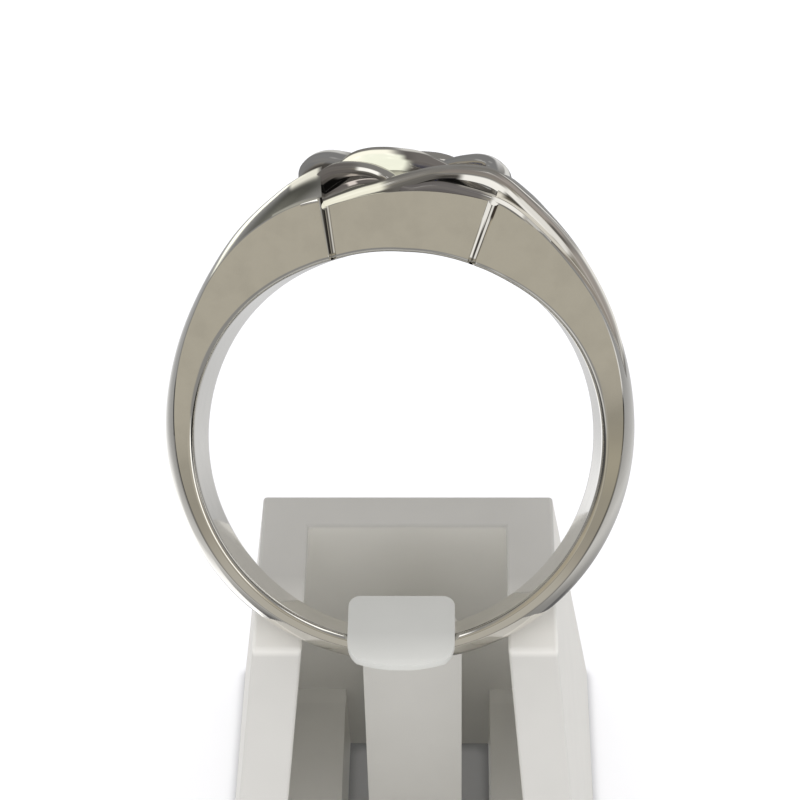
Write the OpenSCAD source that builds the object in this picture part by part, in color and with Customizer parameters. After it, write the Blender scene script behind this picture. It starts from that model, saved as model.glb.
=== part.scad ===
// Finger ring of polished white metal, with woven strands over a bridge set with three
// small sapphires, held leaning back in a plain white clip stand.
// The stand's base is centred on the origin and rests on Z = 0, and the ring faces -Y.

/* [Ring] */
// Radius of the finger hole at the sides and the palm
bore_r = 8.42; // [8:0.02:8.7]
// Width of the ring along the finger at the palm
palm_w = 2.8; // [2.4:0.1:2.9]
// Width of the ring along the finger at the top
top_w = 10; // [9:0.1:11]
// Metal between the finger hole and the side face's outer edge at the palm
palm_wall = 0.56; // [0.5:0.02:0.7]
// Chamfer of the finger hole's two rims
rim_chamfer = 0.24; // [0.14:0.01:0.28]

/* [Bridge] */
// Half of the angle that the bridge between the shoulders takes up
bridge_half_angle = 19.2; // [17:0.1:21]
// Height of the middle of the bridge's top above the ring's centre
bridge_top_r = 10.4; // [10.3:0.02:10.5]
// Rise of the bridge's near edge from its left end to its right end, per degree
bridge_twist = 0.014; // [0:0.001:0.016]
// Width of the V groove at each end of the bridge
groove_w = 0.36; // [0.2:0.02:0.5]
// Lean of each groove to the bridge's middle line, in degrees
groove_lean = 13.5; // [10:0.5:19]
// Turn of both grooves' lines, clockwise from the front, in degrees
groove_skew = 3; // [0:0.5:4]
// Place of both grooves' middles round the ring, clockwise from the bridge's ends, in degrees
groove_turn = -0.75; // [-1:0.05:0]
// Turn of the weave against the bridge, in degrees
weave_turn = -1.75; // [-2.5:0.05:0]

/* [Stones] */
// Diameter of a sapphire at its girdle
stone_d = 1.8; // [1.6:0.05:1.9]
// Turn of the two outer sapphires from the middle of the weave, in degrees
stone_turn = 9.5; // [9:0.1:10]
// Distance of the two outer sapphires from the ring's middle plane
stone_offset = 2.1; // [2:0.05:2.2]
// Height of the sapphires' girdle above the ring's centre
stone_girdle_r = 10.62; // [10.58:0.02:10.68]
// Clearance between a sapphire and its seat
stone_gap = 0.03; // [0.02:0.01:0.05]
// Wall of the collar round a sapphire
collar_wall = 0.2; // [0.16:0.02:0.24]

/* [Stand] */
// Height of the stand
stand_h = 20; // [18:0.5:24]
// Width of the stand's top
stand_top_w = 13.2; // [12.8:0.1:14]
// Depth of the stand's top from its front edge to its back edge
stand_top_d = 8.3; // [8:0.1:9]
// Height of the upright toe below the slanted front
stand_toe_h = 4; // [3:0.5:6]
// Outward lean of the stand's sides, as run over rise
side_draft = 0.135; // [0.12:0.005:0.15]
// Outward lean of the stand's back, as run over rise
back_draft = 0.17; // [0.14:0.01:0.24]
// Width of the well at its top
well_w = 8.9; // [8.6:0.1:9]
// Thickness of the wall behind the well at its top
well_back = 1.7; // [1.5:0.1:2]
// Lean of the well's back wall, as run over rise
well_back_draft = 0.03; // [0.01:0.01:0.04]
// Thickness of the plate below the well
well_floor = 5.5; // [4:0.5:6]
// Width of the slot in the plate
slot_w = 7.3; // [6.8:0.1:7.6]

/* [Clip] */
// Width of the tongue
tongue_w = 4.42; // [4.2:0.02:4.5]
// Thickness of the tongue, measured level
tongue_t = 0.6; // [0.5:0.05:0.7]
// Lean of the tongue, as run over rise
tongue_lean = 0.164; // [0.14:0.002:0.18]
// Sideways shift of the tongue from the stand's middle
tongue_shift = 0.245; // [0.1:0.005:0.3]
// Thickness of the tongue's head, which reaches over the palm of the ring
head_t = 0.42; // [0.34:0.02:0.46]
// Radius of the head's front corners
head_corner_r = 1.2; // [1:0.1:1.6]
// Radius of the bow of the head's front edge between its corners
head_bow_r = 5.5; // [5:0.5:9]
// Radius of the head's rear corners
head_rear_r = 0.5; // [0.3:0.05:0.7]

/* [Pose] */
// Turn of the ring in the clip, clockwise from the front, in degrees
ring_roll = 3.2; // [0:0.2:4]
// Height of the ring's palm above the stand's top
palm_rise = 0.4; // [0.4:0.05:0.6]
// Distance of the ring's palm in front of the stand's front top edge
palm_ahead = 0.1; // [0:0.02:0.2]
// Sideways shift of the ring from the stand's middle
ring_shift = -0.2; // [-0.24:0.02:0.16]

/* [Hidden] */

metal_color = [0.76, 0.75, 0.72];
sapphire_color = [0.08, 0.16, 0.52];
plastic_color = [0.86, 0.86, 0.84];

// The ring leans back by this angle, and its palm is the lowest point of its side faces
ring_lean = 45;

// Places that follow from the driving sizes
front_run = stand_h - stand_toe_h;
base_back_run = back_draft * stand_h;
base_d = front_run + stand_top_d + base_back_run;
front_top_y = front_run - base_d / 2;
back_top_y = front_top_y + stand_top_d;
palm_y = front_top_y - palm_ahead;
palm_z = stand_h + palm_rise;
palm_r = bore_r + palm_wall;
ring_center = [ring_shift, palm_y + palm_r * sin(ring_lean), palm_z + palm_r * cos(ring_lean)];

// Sections of the hoop from the bridge round to the palm, which is at a turn of 180 degrees.
// Flatten is how far the finger hole comes in from round, wall the metal up to the side face's
// outer edge beyond the palm's, dome the rise of the outside above that edge, and spread the
// part of the change in width from the palm to the top. Lean is how much higher than wall says
// the edge is at the near left and the far right, and lower at the other two. The outside falls
// from its middle with this power of the distance to it.
TURN = 0;
FLATTEN = 1;
WALL = 2;
DOME = 3;
SPREAD = 4;
LEAN = 5;
POWER = 6;
HOOP = [
    // turn, flatten, wall, dome, spread, lean, power
    [  0,  0.46, 1.66, 1.36, 1.00, -0.13, 3.0],
    [ 20,  0.38, 1.66, 1.32, 0.99, -0.13, 3.0],
    [ 25,  0.34, 1.62, 1.15, 0.97, -0.03, 2.9],
    [ 30,  0.30, 1.54, 0.96, 0.95,  0.05, 2.7],
    [ 40,  0.18, 1.33, 0.75, 0.89,  0.13, 2.3],
    [ 50,  0.08, 1.10, 0.55, 0.81,  0.10, 2.0],
    [ 60,  0.02, 0.82, 0.54, 0.71,  0.05, 1.9],
    [ 75,  0.00, 0.48, 0.61, 0.53,  0.03, 1.9],
    [ 90,  0.00, 0.25, 0.71, 0.37,  0.01, 1.9],
    [110, -0.02, 0.09, 0.76, 0.23,  0.00, 1.9],
    [135, -0.05, 0.03, 0.72, 0.12,  0.00, 1.9],
    [160, -0.07, 0.00, 0.66, 0.03,  0.00, 1.9],
    [180, -0.07, 0.00, 0.64, 0.00,  0.00, 1.9],
];

// Strands of the weave on the near side, the far side's being the same turned half round.
// Each row is one place on the strand: its turn from the middle of the weave, its distance
// towards the near side, the height of its middle above the ring's centre, and half of its
// width and thickness there.
S_TURN = 0;
S_NEAR = 1;
S_RADIUS = 2;
S_HALF_W = 3;
S_HALF_T = 4;
STRAND_OVER = [
    [-20.0, 4.41, 10.13, 0.46, 0.26],
    [-13.5, 4.44, 10.25, 0.52, 0.30],
    [ -9.2, 4.41, 10.36, 0.56, 0.32],
    [ -5.2, 4.38, 10.47, 0.60, 0.33],
    [ -1.2, 4.34, 10.68, 0.64, 0.32],
    [  2.8, 4.29, 10.94, 0.68, 0.29],
    [  6.8, 4.24, 11.21, 0.72, 0.27],
    [ 10.8, 4.16, 11.39, 0.74, 0.29],
    [ 14.8, 4.08, 11.52, 0.75, 0.34],
    [ 17.8, 4.02, 11.56, 0.75, 0.37],
    [ 20.8, 3.97, 11.46, 0.74, 0.36],
    [ 24.8, 3.90, 11.22, 0.72, 0.37],
    [ 29.8, 3.80, 10.95, 0.68, 0.40],
    [ 37.8, 3.58, 10.62, 0.62, 0.42],
    [ 47.8, 3.20, 10.28, 0.54, 0.38],
    [ 59.8, 2.66,  9.95, 0.46, 0.32],
    [ 72.0, 2.20,  9.62, 0.40, 0.24],
];
STRAND_UNDER = [
    [-30.0, 1.90, 10.20, 0.70, 0.30],
    [-24.5, 2.10, 10.55, 0.76, 0.34],
    [-20.5, 2.32, 10.86, 0.78, 0.35],
    [-17.2, 2.55, 11.19, 0.78, 0.36],
    [-13.6, 2.95, 11.43, 0.78, 0.37],
    [-10.4, 3.35, 11.43, 0.76, 0.32],
    [ -6.6, 3.70, 11.28, 0.74, 0.27],
    [ -3.6, 3.90, 11.02, 0.72, 0.25],
    [ -1.8, 4.00, 10.80, 0.70, 0.24],
    [  0.8, 4.15, 10.54, 0.68, 0.22],
    [  3.2, 4.24, 10.48, 0.66, 0.22],
    [  5.8, 4.32, 10.60, 0.62, 0.25],
    [  8.8, 4.38, 10.69, 0.60, 0.26],
    [ 13.8, 4.42, 10.69, 0.56, 0.26],
    [ 19.8, 4.45, 10.70, 0.52, 0.26],
    [ 22.2, 4.45, 10.60, 0.50, 0.25],
];
STRAND_CROSSING = [
    [-22.0, 1.40, 10.60, 0.66, 0.30],
    [-18.2, 1.60, 10.95, 0.70, 0.34],
    [-13.2, 1.90, 11.38, 0.75, 0.36],
    [ -9.8, 2.02, 11.75, 0.79, 0.39],
    [ -7.0, 2.00, 11.82, 0.82, 0.43],
    [ -4.2, 1.95, 11.77, 0.85, 0.48],
    [ -1.0, 1.68, 11.70, 0.84, 0.50],
    [  2.0, 1.38, 11.66, 0.80, 0.48],
    [  4.6, 1.06, 11.58, 0.76, 0.42],
    [  7.2, 0.74, 11.46, 0.73, 0.37],
    [  9.4, 0.45, 11.28, 0.72, 0.36],
    [ 13.8, -0.15, 11.02, 0.70, 0.35],
    [ 19.8, -0.85, 10.96, 0.68, 0.34],
    [ 25.0, -1.35, 10.90, 0.66, 0.34],
];
STRAND_LOOP = [
    [-23.0, -2.40, 10.76, 0.40, 0.34],
    [-21.7, -1.70, 11.14, 0.44, 0.36],
    [-20.7, -1.02, 11.44, 0.48, 0.38],
    [-19.9, -0.40, 11.71, 0.56, 0.40],
    [-18.7,  0.06, 12.00, 0.66, 0.40],
    [-17.1,  0.30, 12.14, 0.72, 0.40],
    [-15.0,  0.46, 12.12, 0.74, 0.40],
    [-12.6,  0.62, 11.94, 0.74, 0.40],
    [-10.4,  0.82, 11.73, 0.72, 0.40],
    [ -8.4,  1.04, 11.50, 0.70, 0.38],
    [ -6.0,  1.32, 11.24, 0.66, 0.36],
    [ -3.2,  1.62, 11.06, 0.62, 0.34],
    [ -0.4,  1.90, 10.96, 0.58, 0.32],
    [  2.0,  2.10, 10.74, 0.54, 0.30],
    [  4.0,  2.24, 10.32, 0.50, 0.28],
];
STRAND_INNER = [
    [-20.0, 3.60, 10.30, 0.40, 0.20],
    [-15.6, 3.36, 10.50, 0.44, 0.22],
    [-12.0, 3.16, 10.68, 0.46, 0.24],
    [ -8.0, 2.96, 10.74, 0.46, 0.24],
    [ -4.0, 2.76, 10.62, 0.44, 0.24],
    [  0.0, 2.56, 10.34, 0.40, 0.22],
];
STRAND_RIM = [
    [ 18.0, 4.74, 10.72, 0.20, 0.16],
    [ 22.5, 4.76, 10.72, 0.22, 0.16],
    [ 27.0, 4.72, 10.60, 0.20, 0.14],
    [ 33.0, 4.60, 10.38, 0.17, 0.12],
    [ 40.0, 4.40, 10.12, 0.13, 0.10],
];

// Smooth curve through the rows of a table, read at a place counted in rows
function row_mix(rows, at) =
    let (
        last = len(rows) - 1,
        i = min(floor(at), last - 1),
        f = at - i,
        a = rows[max(i - 1, 0)],
        b = rows[i],
        c = rows[i + 1],
        d = rows[min(i + 2, last)]
    )
    b + 0.5 * f * (c - a) + f * f * (a - 2.5 * b + 2 * c - 0.5 * d)
        + f * f * f * (1.5 * (b - c) + 0.5 * (d - a));

// The table of the hoop read at a turn, with its values changing smoothly between rows
function hoop_slope(i, col) =
    let (a = HOOP[max(i - 1, 0)], b = HOOP[min(i + 1, len(HOOP) - 1)])
    (b[col] - a[col]) / (b[TURN] - a[TURN]);
function hoop_row(turn, i = 0) =
    (i + 2 >= len(HOOP) || HOOP[i + 1][TURN] > turn) ? i : hoop_row(turn, i + 1);
function hoop_at(turn, col) =
    let (
        i = hoop_row(turn),
        p = HOOP[i],
        q = HOOP[i + 1],
        step = q[TURN] - p[TURN],
        f = (turn - p[TURN]) / step
    )
    (2 * f * f * f - 3 * f * f + 1) * p[col] + (f * f * f - 2 * f * f + f) * step * hoop_slope(i, col)
        + (3 * f * f - 2 * f * f * f) * q[col] + (f * f * f - f * f) * step * hoop_slope(i + 1, col);

function hole_r(turn) = bore_r - hoop_at(turn, FLATTEN);
function side_r(turn) = bore_r + palm_wall + hoop_at(turn, WALL);
function half_w(turn) = palm_w / 2 + (top_w - palm_w) / 2 * hoop_at(turn, SPREAD);

// Cross-section of the hoop at a turn, as [radius, place along the finger], anticlockwise
CROWN_STEPS = 12;
function hoop_section(turn, bridge) =
    let (
        size = abs(turn),
        h = half_w(size),
        inner = hole_r(size),
        outer = bridge ? bridge_top_r : side_r(size),
        rise = bridge ? 0 : hoop_at(size, DOME),
        power = hoop_at(size, POWER),
        twist = bridge ? bridge_twist * turn : -sign(turn) * hoop_at(size, LEAN)
    )
    [
        [inner, h - rim_chamfer],
        [inner, rim_chamfer - h],
        [inner + rim_chamfer, -h],
        for (k = [0 : CROWN_STEPS])
            let (s = 2 * k / CROWN_STEPS - 1)
            [outer + rise * (1 - pow(abs(s), power)) - twist * s, s * h],
        [inner + rim_chamfer, h],
    ];

// Closed skin through rings of points; a loop that meets itself has no caps
module skin(rings, closed) {
    n = len(rings[0]);
    m = len(rings);
    spans = closed ? m : m - 1;
    sides = [
        for (i = [0 : spans - 1], j = [0 : n - 1])
            let (a = i * n + j, b = i * n + (j + 1) % n, c = ((i + 1) % m) * n)
            each [[a, b, c + (j + 1) % n], [a, c + (j + 1) % n, c + j]]
    ];
    caps = closed ? [] : [[for (j = [n - 1 : -1 : 0]) j], [for (j = [0 : n - 1]) (m - 1) * n + j]];
    polyhedron(points = [for (ring = rings) each ring], faces = concat(sides, caps), convexity = 10);
}

// A point of the ring: turn clockwise from the top, radius, and place along the finger
function on_ring(turn, r, along) = [r * sin(turn), along, r * cos(turn)];

// Turns at which the hoop has a section, closer together beside the bridge
END_STEP = 0.3;
shoulder_start = bridge_half_angle + END_STEP;
BRIDGE_STEPS = 4;
SHOULDER_STEPS = 26;
function shoulder_turn(k) =
    let (f = k / SHOULDER_STEPS)
    shoulder_start + (180 - shoulder_start) * (0.55 * f + 0.45 * f * f);

module hoop() {
    right = [for (k = [0 : SHOULDER_STEPS]) shoulder_turn(k)];
    left = [for (k = [SHOULDER_STEPS - 1 : -1 : 0]) 360 - shoulder_turn(k)];
    bridge = [for (k = [-BRIDGE_STEPS : BRIDGE_STEPS]) bridge_half_angle * k / BRIDGE_STEPS];
    rings = concat(
        [for (t = bridge) [for (p = hoop_section(t, true)) on_ring(t, p[0], p[1])]],
        [for (t = concat(right, left))
            [for (p = hoop_section(t > 180 ? t - 360 : t, false)) on_ring(t, p[0], p[1])]]
    );
    skin(rings, true);
}

// A strand: an oval carried along its rows, standing square to the ring's radius
STRAND_SIDES = 10;
STRAND_STEPS = 3;
function strand_point(row) = on_ring(row[S_TURN], row[S_RADIUS], -row[S_NEAR]);
function unit(v) = v / norm(v);
module strand(rows) {
    count = (len(rows) - 1) * STRAND_STEPS;
    places = [for (k = [0 : count]) row_mix(rows, k / STRAND_STEPS)];
    rings = [
        for (k = [0 : count])
            let (
                here = places[k],
                ahead = strand_point(places[min(k + 1, count)]),
                behind = strand_point(places[max(k - 1, 0)]),
                run = unit(ahead - behind),
                outward = on_ring(here[S_TURN], 1, 0),
                across = unit(cross(run, outward)),
                lift = cross(across, run)
            )
            [
                for (j = [0 : STRAND_SIDES - 1])
                    let (a = 360 * j / STRAND_SIDES)
                    strand_point(here) + here[S_HALF_W] * cos(a) * across + here[S_HALF_T] * sin(a) * lift
            ]
    ];
    skin(rings, false);
}

// Both halves of the weave
module weave() {
    for (half = [0, 180])
        rotate([0, weave_turn, 0])
            rotate([0, 0, half]) {
                strand(STRAND_OVER);
                strand(STRAND_UNDER);
                strand(STRAND_CROSSING);
                strand(STRAND_LOOP);
                strand(STRAND_INNER);
                strand(STRAND_RIM);
            }
}

// The V grooves in the side faces at the ends of the bridge
module grooves() {
    groove_mid_r = 9.25;
    groove_l = 4;
    for (side = [-1, 1], face = [-1, 1])
        translate(on_ring(side * bridge_half_angle + groove_turn, groove_mid_r, face * top_w / 2))
            rotate([0, side * groove_lean + groove_skew, 0])
                rotate([0, 0, 45])
                    cube([groove_w / sqrt(2), groove_w / sqrt(2), groove_l], center = true);
}

// Stands a child, made round the Z axis, on the ring where a sapphire sits
module at_stone(step) {
    rotate([0, step * stone_turn + weave_turn, 0])
        translate([0, -step * stone_offset, 0])
            children();
}

// A round cut stone: heights and widths of its parts, as parts of its diameter
GIRDLE_PART = 0.03;
CROWN_PART = 0.16;
PAVILION_PART = 0.43;
TABLE_PART = 0.56;
STAR_PART = 0.8;
STAR_RISE = 0.6;
module brilliant() {
    flat = 0.01;
    culet_d = 0.05;
    crown_foot = stone_girdle_r + stone_d * GIRDLE_PART;
    crown_h = stone_d * CROWN_PART;
    hull() {
        translate([0, 0, stone_girdle_r])
            linear_extrude(height = stone_d * GIRDLE_PART)
                circle(d = stone_d, $fn = 12);
        translate([0, 0, crown_foot + crown_h * STAR_RISE])
            rotate([0, 0, 22.5])
                linear_extrude(height = flat)
                    circle(d = stone_d * STAR_PART, $fn = 8);
        translate([0, 0, crown_foot + crown_h])
            linear_extrude(height = flat)
                circle(d = stone_d * TABLE_PART, $fn = 8);
        translate([0, 0, stone_girdle_r - stone_d * PAVILION_PART])
            linear_extrude(height = flat)
                circle(d = culet_d, $fn = 8);
    }
}

// The collar that holds a sapphire, and the seat cut for it
module collar() {
    collar_foot_r = 9.9;
    collar_lip = 0.06;
    collar_top = stone_girdle_r + stone_d * GIRDLE_PART + collar_lip;
    translate([0, 0, collar_foot_r])
        cylinder(h = collar_top - collar_foot_r, d = stone_d + 2 * collar_wall, $fn = 32);
}
module seat() {
    seat_d = stone_d + 2 * stone_gap;
    pavilion = stone_d * PAVILION_PART + 2 * stone_gap;
    translate([0, 0, stone_girdle_r - stone_gap])
        cylinder(h = stone_d / 4, d = seat_d, $fn = 32);
    translate([0, 0, stone_girdle_r - stone_gap - pavilion])
        cylinder(h = pavilion, d1 = 2 * stone_gap, d2 = seat_d, $fn = 32);
}

// Puts the ring, made round its own centre and facing -Y, where the clip holds it
module posed() {
    translate(ring_center)
        rotate([-ring_lean, 0, 0])
            rotate([0, ring_roll, 0])
                children();
}

module band() {
    color(metal_color)
        posed()
            difference() {
                union() {
                    hoop();
                    weave();
                    for (step = [-1 : 1]) at_stone(step) collar();
                }
                grooves();
                for (step = [-1 : 1]) at_stone(step) seat();
            }
}

module sapphire(step) {
    color(sapphire_color)
        posed()
            at_stone(step)
                brilliant();
}

// The stand's body: its side view across its front view, less the well, which is shaped the
// same way and is open at the top and the front, and less the slot in the well's plate
module stand_body() {
    over = 1;
    edge = base_d / 2;
    side_view = [
        [-edge, 0],
        [-edge, stand_toe_h],
        [front_top_y, stand_h],
        [back_top_y, stand_h],
        [edge, 0],
    ];
    half = stand_top_w / 2;
    foot = half + side_draft * stand_h;
    front_view = [[-foot, 0], [-half, stand_h], [half, stand_h], [foot, 0]];
    well_top_y = back_top_y - well_back;
    well_base_y = well_top_y + well_back_draft * (stand_h - well_floor);
    well_side_view = [
        [-edge - over, well_floor],
        [-edge - over, stand_h + over],
        [well_top_y - well_back_draft * over, stand_h + over],
        [well_base_y, well_floor],
    ];
    lip = well_w / 2 - side_draft * over;
    well_foot = well_w / 2 + side_draft * (stand_h - well_floor);
    well_front_view = [
        [-well_foot, well_floor],
        [-lip, stand_h + over],
        [lip, stand_h + over],
        [well_foot, well_floor],
    ];
    slot_front_y = palm_y - 0.45;
    difference() {
        crossed(side_view, front_view);
        crossed(well_side_view, well_front_view);
        translate([tongue_shift - slot_w / 2, slot_front_y, -over])
            cube([slot_w, well_base_y - slot_front_y, well_floor + 2 * over]);
    }
}

// A solid with one outline seen from the side and another seen from the front
module crossed(side_view, front_view) {
    intersection() {
        rotate([90, 0, 90])
            linear_extrude(height = 2 * base_d, center = true)
                polygon(side_view);
        rotate([90, 0, 0])
            linear_extrude(height = 2 * base_d, center = true)
                polygon(front_view);
    }
}

// The clip's tongue rises behind the palm of the ring, narrows to a neck, and is folded over the
// palm as a wider head
module tongue() {
    // The tongue's front face, and the head's underside, beside the palm of the ring
    throat_y = palm_y + 1.63;
    throat_z = palm_z - 0.65;
    head_under = palm_z + 1.62;
    head_top = head_under + head_t;
    head_front_y = palm_y - 2.25;
    head_back_y = palm_y + 1.2;
    head_inner_y = head_back_y - 0.35;
    head_edge = 0.04;
    head_slope = 0.3;
    bend_z = palm_z + 0.2;
    back_z = palm_z + 0.1;
    // The foot that joins the tongue to the plate
    root_z = well_floor - 1.1;
    root_top_z = well_floor - 0.4;
    root_front_y = palm_y - 2.45;
    side_view = [
        [head_front_y, head_under],
        [head_front_y, head_top - head_edge],
        [head_front_y + head_slope, head_top],
        [head_back_y, head_top],
        [throat_y + tongue_lean * (back_z - throat_z) + tongue_t, back_z],
        [throat_y + tongue_lean * (root_z - throat_z) + tongue_t, root_z],
        [root_front_y, root_z],
        [root_front_y, root_top_z],
        [throat_y + tongue_lean * (root_top_z - throat_z), root_top_z],
        [throat_y + tongue_lean * (bend_z - throat_z), bend_z],
        [head_inner_y, head_under],
    ];
    // The strip is a little to the right of the head
    head_x = ring_shift + 0.11;
    head_w = 4.5;
    neck_w = 3.7;
    neck_z = palm_z - 0.05;
    neck_flare = 0.1;
    strip_z = palm_z - 1.65;
    left = tongue_shift - tongue_w / 2;
    right = tongue_shift + tongue_w / 2;
    over_z = head_top + 1;
    front_view = [
        [left, 0],
        [right, 0],
        [right, strip_z],
        [head_x + neck_w / 2, neck_z],
        [head_x + neck_w / 2, head_under - neck_flare],
        [head_x + head_w / 2, head_under],
        [head_x + head_w / 2, over_z],
        [head_x - head_w / 2, over_z],
        [head_x - head_w / 2, head_under],
        [head_x - neck_w / 2, head_under - neck_flare],
        [head_x - neck_w / 2, neck_z],
        [left, strip_z],
    ];
    front_w = head_w - 2 * head_corner_r;
    rear_w = head_w - 2 * head_rear_r;
    front_y = head_front_y + head_corner_r;
    rear_y = head_back_y - head_rear_r;
    square_z = head_under - neck_flare;
    // The bow leaves the middle of the front edge straight
    bow_y = head_front_y + head_bow_r - 0.02;
    intersection() {
        crossed(side_view, front_view);
        union() {
            translate([-base_d, -base_d, 0])
                cube([2 * base_d, 2 * base_d, square_z]);
            translate([head_x, bow_y, 0])
                cylinder(h = over_z, r = head_bow_r, $fn = 120);
        }
        union() {
            translate([-base_d, -base_d, 0])
                cube([2 * base_d, 2 * base_d, square_z]);
            translate([head_x - front_w / 2, head_front_y - 1, 0])
                cube([front_w, base_d, over_z]);
            translate([-base_d, front_y, 0])
                cube([2 * base_d, rear_y - front_y, over_z]);
            translate([head_x - rear_w / 2, front_y, 0])
                cube([rear_w, base_d, over_z]);
            for (side = [-1, 1]) {
                translate([head_x + side * front_w / 2, front_y, 0])
                    cylinder(h = over_z, r = head_corner_r, $fn = 48);
                translate([head_x + side * rear_w / 2, rear_y, 0])
                    cylinder(h = over_z, r = head_rear_r, $fn = 32);
            }
        }
    }
}

module stand() {
    color(plastic_color) {
        union() {
            stand_body();
            tongue();
        }
    }
}

band();
sapphire(1);  // sapphire_near
sapphire(0);  // sapphire_middle
sapphire(-1);  // sapphire_far
stand();
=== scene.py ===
"""Polished white metal ring with a woven top, leaning back in its white clip stand.

The file follows the thing as it is put together: the view of it, the studio, the tray it
stands on, the ring's hoop, the strands soldered over it, the collars and stones, and the stand.
"""

import bmesh
import bpy
import numpy as np
from mathutils import Matrix


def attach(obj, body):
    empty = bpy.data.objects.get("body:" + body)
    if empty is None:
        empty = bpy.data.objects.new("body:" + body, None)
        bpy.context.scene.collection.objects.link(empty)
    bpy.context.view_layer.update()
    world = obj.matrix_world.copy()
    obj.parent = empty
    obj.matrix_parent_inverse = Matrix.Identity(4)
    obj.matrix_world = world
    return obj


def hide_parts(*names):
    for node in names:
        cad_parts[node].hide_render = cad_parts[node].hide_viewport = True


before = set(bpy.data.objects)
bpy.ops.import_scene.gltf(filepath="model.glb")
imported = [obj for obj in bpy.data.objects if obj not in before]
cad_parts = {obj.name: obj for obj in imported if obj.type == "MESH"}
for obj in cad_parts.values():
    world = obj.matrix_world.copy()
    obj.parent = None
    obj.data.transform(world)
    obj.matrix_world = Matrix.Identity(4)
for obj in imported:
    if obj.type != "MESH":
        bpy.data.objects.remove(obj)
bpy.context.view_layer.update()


# The view
# The ring is looked at from above and in front, 85 mm from its centre, as a jeweller holds a
# phone over a tray. The ring's centre is where the clip holds it over the stand.

MM = 0.001
RING_CENTRE = np.array((-0.2, 8.4, 26.75))
VIEW_FROM_RING = np.array((2.47, -53.55, 65.99))
VIEW_PITCH, VIEW_YAW, VIEW_ROLL = np.radians((49.82, 2.54, 2.01))
LENS_MM = 89.89
FILM_MM = 36.0
NEAREST_SEEN = 1.0
FARTHEST_SEEN = 10000.0

sight = np.array(
    (
        -np.sin(VIEW_YAW) * np.cos(VIEW_PITCH),
        np.cos(VIEW_YAW) * np.cos(VIEW_PITCH),
        -np.sin(VIEW_PITCH),
    )
)
level = np.array((np.cos(VIEW_YAW), np.sin(VIEW_YAW), 0.0))
drop = np.cross(sight, level)
across_view = level * np.cos(VIEW_ROLL) + drop * np.sin(VIEW_ROLL)
down_view = drop * np.cos(VIEW_ROLL) - level * np.sin(VIEW_ROLL)

camera_data = bpy.data.cameras.new("view")
camera_data.lens = LENS_MM
camera_data.sensor_width = FILM_MM
camera_data.clip_start = NEAREST_SEEN * MM
camera_data.clip_end = FARTHEST_SEEN * MM
camera = bpy.data.objects.new("view", camera_data)
bpy.context.scene.collection.objects.link(camera)
turned = Matrix(np.column_stack((across_view, -down_view, -sight)).tolist()).to_4x4()
turned.translation = ((RING_CENTRE + VIEW_FROM_RING) * MM).tolist()
camera.matrix_world = turned
bpy.context.scene.camera = camera


# The studio
# A white tent of soft light over the tray, open towards the viewer, where the room is a warm
# grey, with a dark strip of room behind the tray's far edge. The metal mirrors all of these.

def linear(sheet):
    """The linear colour of an sRGB hex value: each part is divided by 255, and is then
    divided by 12.92 below 0.04045 and otherwise raised to 2.4 after (part + 0.055) / 1.055."""
    part = np.array([int(sheet[i : i + 2], 16) for i in (1, 3, 5)]) / 255.0
    low = part / 12.92
    high = ((part + 0.055) / 1.055) ** 2.4
    return (*np.where(part <= 0.04045, low, high).tolist(), 1.0)


def add_node(tree, kind, settings=None, **sockets):
    """A node of a material or world. Settings are its own properties. A socket is named with _
    for a space, or by its place as n0 or n1, and takes a value, another node's output, or
    another node, which stands for its first output in use."""
    node = tree.nodes.new(kind)
    for name, value in (settings or {}).items():
        setattr(node, name, value)
    for name, value in sockets.items():
        key = int(name[1:]) if name[0] == "n" and name[1:].isdigit() else name.replace("_", " ")
        if isinstance(value, bpy.types.Node):
            value = next(output for output in value.outputs if output.enabled)
        if isinstance(value, bpy.types.NodeSocket):
            tree.links.new(value, node.inputs[key])
        else:
            node.inputs[key].default_value = value
    return node


def patch_mask(tree, places, middles, halves, softs):
    """1 inside a soft-edged box over angles in degrees or places in mm, and 0 outside it: for
    each a smooth step down over soft at half from the middle, and all of them multiplied."""
    mask = None
    for place, middle, half, soft in zip(places, middles, halves, softs):
        off = add_node(tree, "ShaderNodeMath", {"operation": "SUBTRACT"}, n0=place, n1=middle)
        off = add_node(tree, "ShaderNodeMath", {"operation": "WRAP"}, n0=off, n1=-180.0, n2=180.0)
        off = add_node(tree, "ShaderNodeMath", {"operation": "ABSOLUTE"}, n0=off)
        inside = add_node(
            tree,
            "ShaderNodeMapRange",
            {"interpolation_type": "SMOOTHSTEP"},
            Value=off,
            From_Min=half + soft / 2,
            From_Max=half - soft / 2,
        )
        if mask is not None:
            inside = add_node(tree, "ShaderNodeMath", {"operation": "MULTIPLY"}, n0=inside, n1=mask)
        mask = inside
    return mask


def times(colour, level):
    """A colour at a level of light."""
    return tuple(level * part for part in colour[:3]) + (1.0,)


TENT_WHITE = linear("#fbfbff")
TENT_WALL = 1.0
TENT_ROOF = 1.3
REST_OF_ROOM = 0.3
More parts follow.
